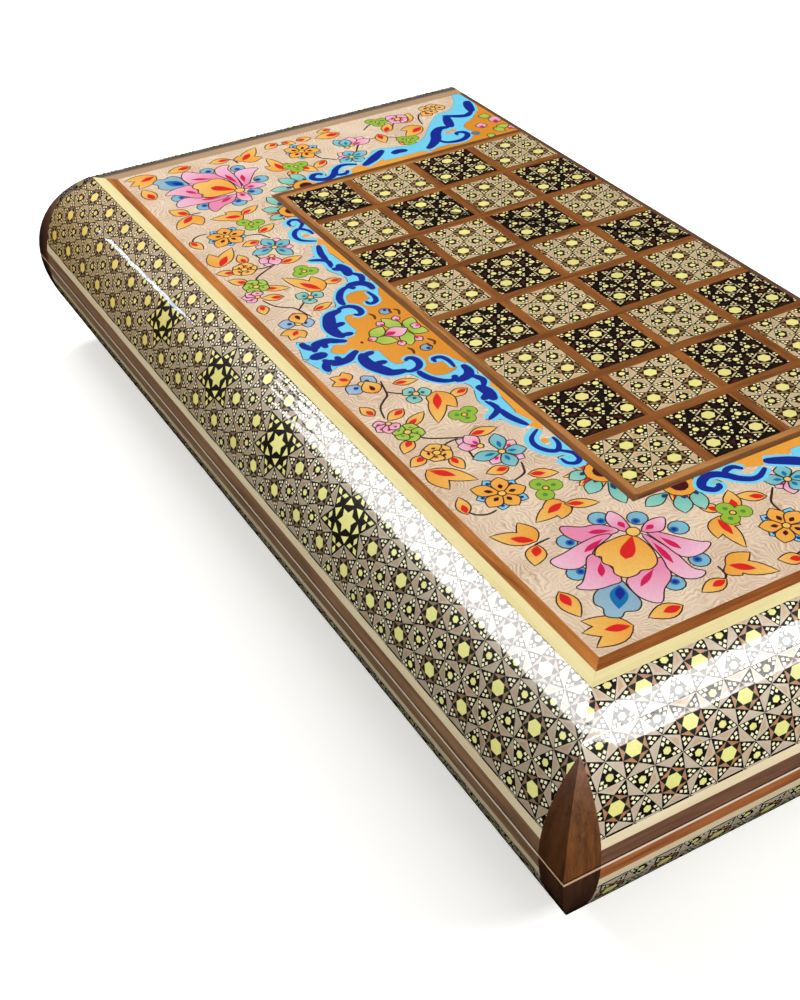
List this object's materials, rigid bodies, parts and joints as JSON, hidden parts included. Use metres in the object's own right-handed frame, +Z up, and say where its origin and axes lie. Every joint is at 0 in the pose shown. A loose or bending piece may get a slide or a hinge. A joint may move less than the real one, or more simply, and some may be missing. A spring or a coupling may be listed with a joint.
{
  "type": "backgammon board",
  "caption": "Folding backgammon board: two hinged trays with rounded inlaid sides, a painted floral border and half a chessboard on each outer face.",
  "frame": {"origin": "centre of the box round the closed board, at the face it rests on", "axes": "+X along the hinge, +Y towards the hinge side, +Z up through the closed lid"},
  "size_m": [0.5, 0.2504, 0.096],
  "materials": {
    "walnut": "gloss lacquer",
    "brown_wood": "gloss lacquer",
    "cream_wood": "gloss lacquer",
    "dark_wood": "gloss lacquer",
    "core_board": "plain",
    "star_inlay": "gloss lacquer over inlay of wood, bone and brass",
    "dark_star_inlay": "gloss lacquer over inlay of wood, bone and brass",
    "painted_ground": "gloss lacquer over a painted ground",
    "brass": "polished"
  },
  "bodies": {
    "base": {"base_panel": "core_board", "base_front_rail": "walnut", "base_left_rail": "walnut", "base_right_rail": "walnut", "base_hinge_rail": "walnut", "base_front_veneer": "star_inlay", "base_left_veneer": "star_inlay", "base_right_veneer": "star_inlay", "base_corner_posts": "walnut", "base_rim_edging": "brown_wood", "base_side_line": "cream_wood", "base_rim_band": "star_inlay", "base_face_line": "cream_wood", "base_face_border": "brown_wood", "base_hinge_edge": "brown_wood", "base_inner_frame": "brown_wood", "base_outer_frame": "walnut", "base_square_strips": "brown_wood", "base_light_squares": "star_inlay", "base_dark_squares": "dark_star_inlay", "base_painted_panel": "painted_ground", "base_lining": "walnut", "base_floor": "brown_wood", "base_light_points": "cream_wood", "base_dark_points": "dark_wood", "hinge_leaves_base": "brass", "hinge_pins": "brass", "hinge_screws_base": "brass"},
    "lid": {"lid_panel": "core_board", "lid_front_rail": "walnut", "lid_left_rail": "walnut", "lid_right_rail": "walnut", "lid_hinge_rail": "walnut", "lid_front_veneer": "star_inlay", "lid_left_veneer": "star_inlay", "lid_right_veneer": "star_inlay", "lid_corner_posts": "walnut", "lid_rim_edging": "brown_wood", "lid_side_line": "cream_wood", "lid_rim_band": "star_inlay", "lid_face_line": "cream_wood", "lid_face_border": "brown_wood", "lid_hinge_edge": "brown_wood", "lid_inner_frame": "brown_wood", "lid_outer_frame": "walnut", "lid_square_strips": "brown_wood", "lid_light_squares": "star_inlay", "lid_dark_squares": "dark_star_inlay", "lid_painted_panel": "painted_ground", "lid_lining": "walnut", "lid_floor": "brown_wood", "lid_light_points": "cream_wood", "lid_dark_points": "dark_wood", "hinge_leaves_lid": "brass", "hinge_screws_lid": "brass"}
  },
  "joints": [
    {"name": "lid_hinge", "type": "hinge", "parent": "base", "child": "lid", "pos_m": [0, 0.12298, 0.048], "axis": [-1, 0, 0], "range_deg": [0, 180]}
  ]
}
